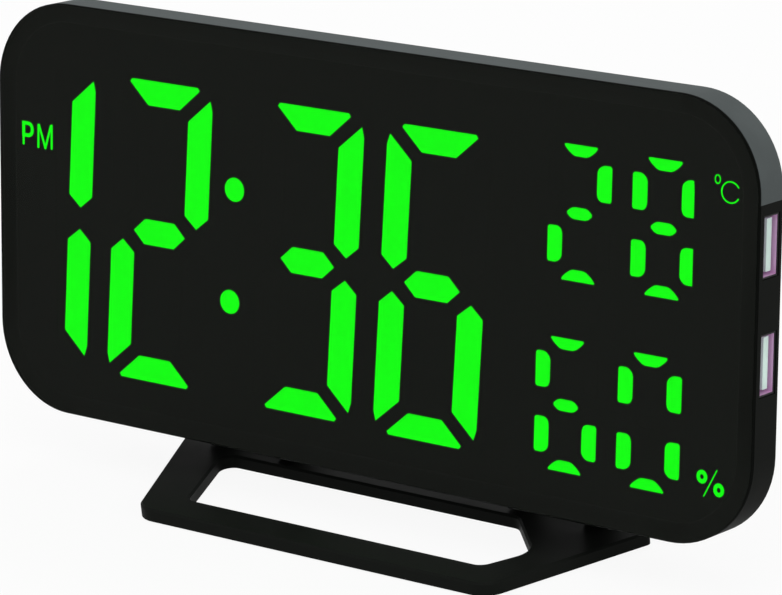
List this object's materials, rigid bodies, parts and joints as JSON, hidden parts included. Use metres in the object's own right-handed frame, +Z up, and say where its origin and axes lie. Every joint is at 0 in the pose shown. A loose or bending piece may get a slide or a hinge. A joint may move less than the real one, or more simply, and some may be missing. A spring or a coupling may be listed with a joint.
{
  "type": "thermometer hygrometer clock",
  "caption": "Slab-shaped lit table clock leaning back on a folding ring stand, showing time, temperature and humidity, with charging ports in its side.",
  "frame": {"origin": "on the table, under the middle of the whole clock's box", "axes": "+X to the viewer's right along the long side, -Y towards the viewer, +Z up"},
  "size_m": [0.205, 0.0575, 0.1063],
  "materials": {
    "smoked_lens": "clear smoked acrylic, polished",
    "black_tape": "matt",
    "black_housing": "fine matt",
    "grey_trim": "satin",
    "black_mask": "matt",
    "green_light": "lit from behind",
    "unlit_window": "unlit, dark behind the lens",
    "circuit_board": "green solder mask",
    "led_chip": "pale body",
    "chip_black": "moulded",
    "steel": "plain",
    "sensor_white": "matt",
    "tongue_plastic": "pale green-white",
    "brass_contact": "bright",
    "black_button": "satin",
    "ribbon_grey": "flat cable",
    "washer_plastic": "slippery",
    "black_stand": "satin",
    "black_rubber": "matt"
  },
  "bodies": {
    "housing": {"front_lens": "smoked_lens", "lens_tape": "black_tape", "bezel_frame": "black_housing", "rear_housing": "black_housing", "top_trim": "grey_trim", "segment_mask": "black_mask", "unlit_segments": "unlit_window", "display_board": "circuit_board", "key_board": "circuit_board", "usb_board": "circuit_board", "led_chips": "led_chip", "control_chips": "chip_black", "power_parts": "chip_black", "key_switches": "chip_black", "buzzer": "chip_black", "power_jack": "chip_black", "quartz_crystal": "steel", "climate_sensor": "sensor_white", "upper_usb_shell": "steel", "lower_usb_shell": "steel", "usb_tongues": "tongue_plastic", "usb_contacts": "brass_contact", "power_jack_pin": "brass_contact", "cell_contact_minus": "steel", "cell_contact_plus": "steel", "coin_cell": "steel", "ribbon_cable": "ribbon_grey", "housing_screws": "steel", "board_screws": "steel", "key_board_screws": "steel", "hinge_pins": "steel", "hinge_washers": "washer_plastic", "hour_tens_figure": "green_light", "hour_ones_figure": "green_light", "minute_tens_figure": "green_light", "minute_ones_figure": "green_light", "temperature_tens_figure": "green_light", "temperature_ones_figure": "green_light", "humidity_tens_figure": "green_light", "humidity_ones_figure": "green_light", "colon_dots": "green_light"},
    "stand": {"stand_ring": "black_stand", "stand_pads": "black_rubber"},
    "mode_button": {"mode_button": "black_button"},
    "set_button": {"set_button": "black_button"},
    "plus_button": {"plus_button": "black_button"},
    "minus_button": {"minus_button": "black_button"},
    "light_button": {"light_button": "black_button"},
    "battery_door": {"battery_door": "black_housing"}
  },
  "joints": [
    {"name": "stand_hinge", "type": "hinge", "parent": "housing", "child": "stand", "pos_m": [0, 0.01468, 0.0038], "axis": [1, 0, 0], "range_deg": [0, 260]},
    {"name": "mode_button_press", "type": "slide", "parent": "housing", "child": "mode_button", "axis": [0, -0.9863, 0.165], "range_m": [0, 0.0008], "stiffness_N_per_m": 400},
    {"name": "set_button_press", "type": "slide", "parent": "housing", "child": "set_button", "axis": [0, -0.9863, 0.165], "range_m": [0, 0.0008], "stiffness_N_per_m": 400},
    {"name": "plus_button_press", "type": "slide", "parent": "housing", "child": "plus_button", "axis": [0, -0.9863, 0.165], "range_m": [0, 0.0008], "stiffness_N_per_m": 400},
    {"name": "minus_button_press", "type": "slide", "parent": "housing", "child": "minus_button", "axis": [0, -0.9863, 0.165], "range_m": [0, 0.0008], "stiffness_N_per_m": 400},
    {"name": "light_button_press", "type": "slide", "parent": "housing", "child": "light_button", "axis": [0, -0.9863, 0.165], "range_m": [0, 0.0008], "stiffness_N_per_m": 400},
    {"name": "battery_door_lift", "type": "slide", "parent": "housing", "child": "battery_door", "axis": [0, 0.9863, -0.165], "range_m": [0, 0.012]}
  ]
}
